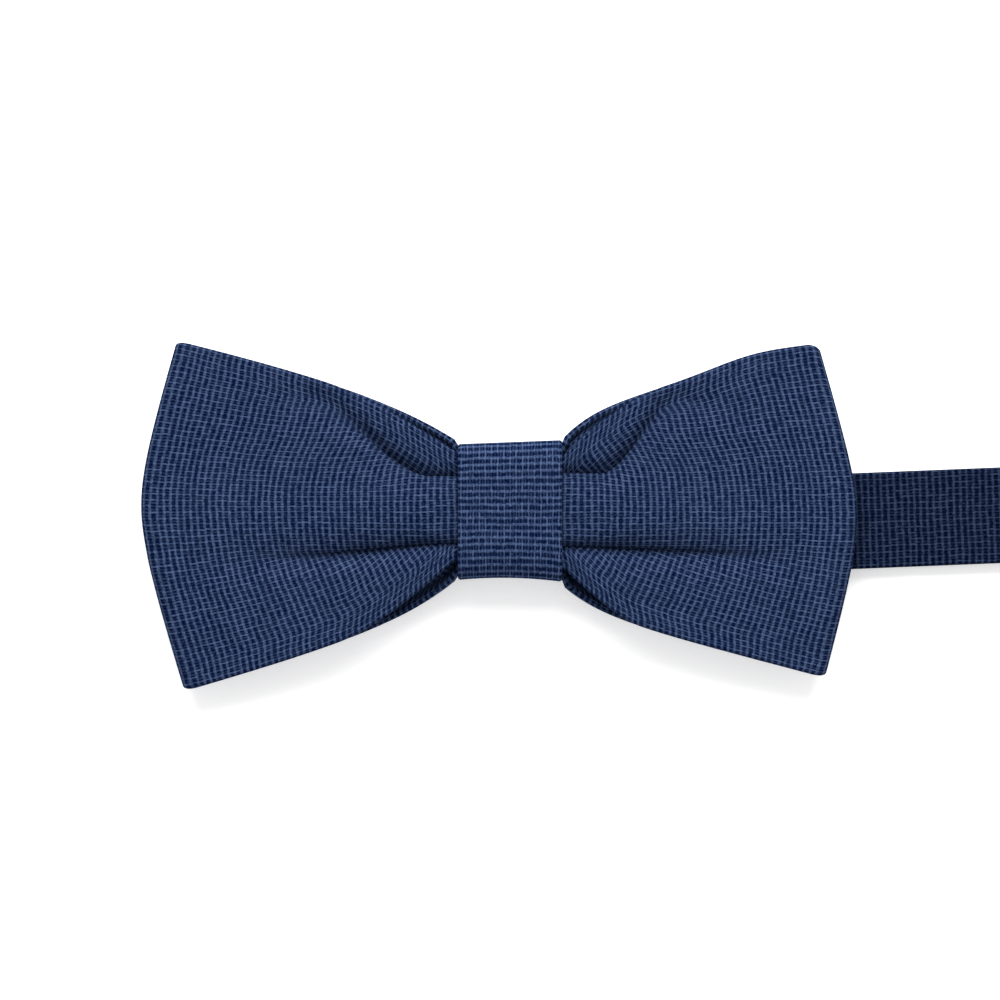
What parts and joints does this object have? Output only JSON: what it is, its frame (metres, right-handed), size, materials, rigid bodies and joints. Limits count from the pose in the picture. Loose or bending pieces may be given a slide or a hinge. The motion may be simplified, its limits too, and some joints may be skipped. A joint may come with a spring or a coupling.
{
  "type": "bow tie",
  "caption": "Pre-tied bow tie with a pleated bow, a wrapped knot and an adjustable neck strap that closes with a hook and eye.",
  "frame": {"origin": "under the middle of the knot, on the flat outer face of the strap's lower run, which the bow tie lies on", "axes": "+Z out of the front of the bow, +X along the bow towards the side where the strap runs out, +Y towards the top of the bow as worn"},
  "size_m": [0.2775, 0.0577, 0.0132],
  "materials": {
    "bow_cloth": "matt navy cloth with a fine blue-grey grid weave",
    "strap_cloth": "the same navy grid weave, in shade",
    "canvas": "undyed interlining canvas",
    "thread": "navy sewing thread",
    "nickel": "polished nickel plate with light wear"
  },
  "bodies": {
    "bow": {"bow_face": "bow_cloth", "bow_interlining": "canvas", "bow_lining": "bow_cloth", "gathering_thread": "thread", "knot_wrap": "bow_cloth", "knot_interlining": "canvas", "knot_stitching": "thread", "strap_eye_end": "strap_cloth", "strap_lower_run": "strap_cloth", "strap_upper_run": "strap_cloth", "neck_interlining": "canvas", "eye_bartack": "thread", "adjusting_strap": "strap_cloth", "adjusting_interlining": "canvas"},
    "slider": {"slider": "nickel", "tail_loop": "strap_cloth", "tail_bartack": "thread", "tail_run": "strap_cloth"},
    "strap_turn": {"strap_turn": "strap_cloth"},
    "hook": {"clasp_hook": "nickel"},
    "eye": {"clasp_eye": "nickel"}
  },
  "joints": [
    {"name": "length_adjust", "type": "slide", "parent": "bow", "child": "slider", "axis": [0.9992, 0.0401, 0], "range_m": [-0.024, 0.036], "deforming": ["adjusting_strap", "adjusting_interlining"]},
    {"name": "strap_turn_follow", "type": "slide", "parent": "slider", "child": "strap_turn", "axis": [-0.9992, -0.0401, 0], "range_m": [-0.013, 0.019], "deforming": ["tail_run"]},
    {"name": "hook_pivot", "type": "hinge", "parent": "strap_turn", "child": "hook", "pos_m": [0.15488, 0.00212, 0.00325], "axis": [0.0401, -0.9992, 0], "range_deg": [0, 100]},
    {"name": "eye_pivot", "type": "hinge", "parent": "bow", "child": "eye", "pos_m": [0.20483, 0.00413, 0.00195], "axis": [0.0401, -0.9992, 0], "range_deg": [0, 100]}
  ],
  "couplings": [
    {"joint": "strap_turn_follow", "follows": "length_adjust", "ratio": 0.5}
  ]
}
